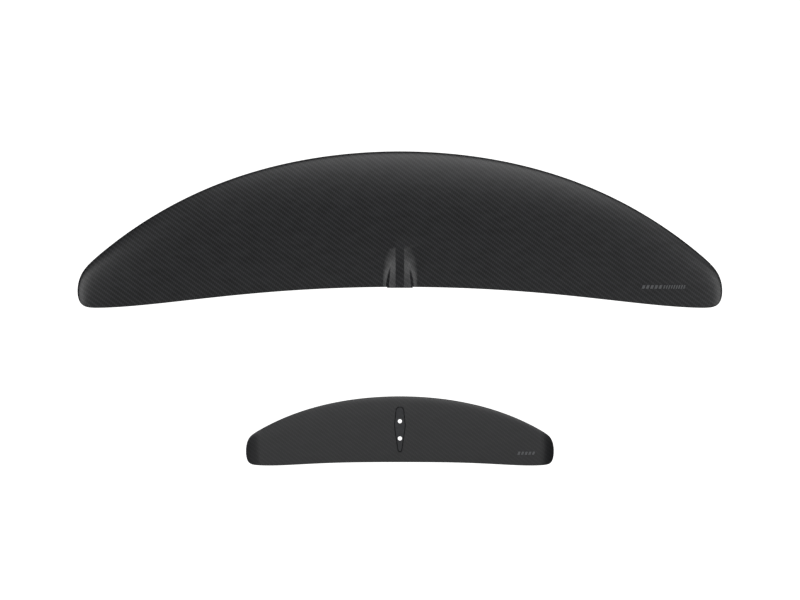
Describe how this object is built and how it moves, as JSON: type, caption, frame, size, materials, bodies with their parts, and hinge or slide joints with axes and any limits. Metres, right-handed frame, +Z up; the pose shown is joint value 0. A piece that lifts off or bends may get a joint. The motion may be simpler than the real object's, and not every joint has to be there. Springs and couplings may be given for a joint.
{
  "type": "hydrofoil wing set",
  "caption": "Carbon hydrofoil wing set: a swept crescent front wing with a rear socket fairing, and a small stabiliser with a raised mounting pad.",
  "frame": {"origin": "centre of the front wing's two fuselage screws, on the flat underside of its socket boss", "axes": "+X spanwise to starboard, +Y forward (the way the set moves), +Z up"},
  "size_m": [1.0334, 0.503, 0.0638],
  "materials": {
    "front_skin_carbon": "carbon twill under a satin clear coat",
    "stab_skin_carbon": "fine carbon twill under a satin clear coat",
    "boss_carbon": "moulded carbon under a satin clear coat",
    "block_carbon": "moulded carbon, satin",
    "stainless": "turned stainless steel",
    "unidirectional_carbon": "cured unidirectional carbon, matt",
    "web_glass": "glass and epoxy laminate",
    "epoxy_filler": "filled epoxy, matt",
    "core_foam": "closed-cell foam, sawn"
  },
  "bodies": {
    "front_wing": {"front_leading_edge_bead": "epoxy_filler", "front_lower_skin": "front_skin_carbon", "front_nose_core": "core_foam", "front_rear_core_left": "core_foam", "front_rear_core_right": "core_foam", "front_screw_bushes": "stainless", "front_shear_web_forward": "web_glass", "front_shear_web_rear": "web_glass", "front_socket_boss": "boss_carbon", "front_spar_cap_lower": "unidirectional_carbon", "front_spar_cap_upper": "unidirectional_carbon", "front_spar_foam": "core_foam", "front_tip_block_left": "epoxy_filler", "front_tip_block_right": "epoxy_filler", "front_trailing_edge_bead_left": "epoxy_filler", "front_trailing_edge_bead_right": "epoxy_filler", "front_upper_skin": "front_skin_carbon"},
    "stabiliser": {"stab_core_left": "core_foam", "stab_core_right": "core_foam", "stab_leading_edge_bead": "epoxy_filler", "stab_lower_skin": "stab_skin_carbon", "stab_mount_block": "block_carbon", "stab_rear_core_left": "core_foam", "stab_rear_core_right": "core_foam", "stab_spar_left": "unidirectional_carbon", "stab_spar_right": "unidirectional_carbon", "stab_trailing_edge_bead_left": "epoxy_filler", "stab_trailing_edge_bead_right": "epoxy_filler", "stab_upper_skin": "stab_skin_carbon"}
  },
  "joints": [
    {"name": "stabiliser_spacing", "type": "slide", "parent": "front_wing", "child": "stabiliser", "axis": [0, -1, 0], "range_m": [0, 0.35]}
  ]
}
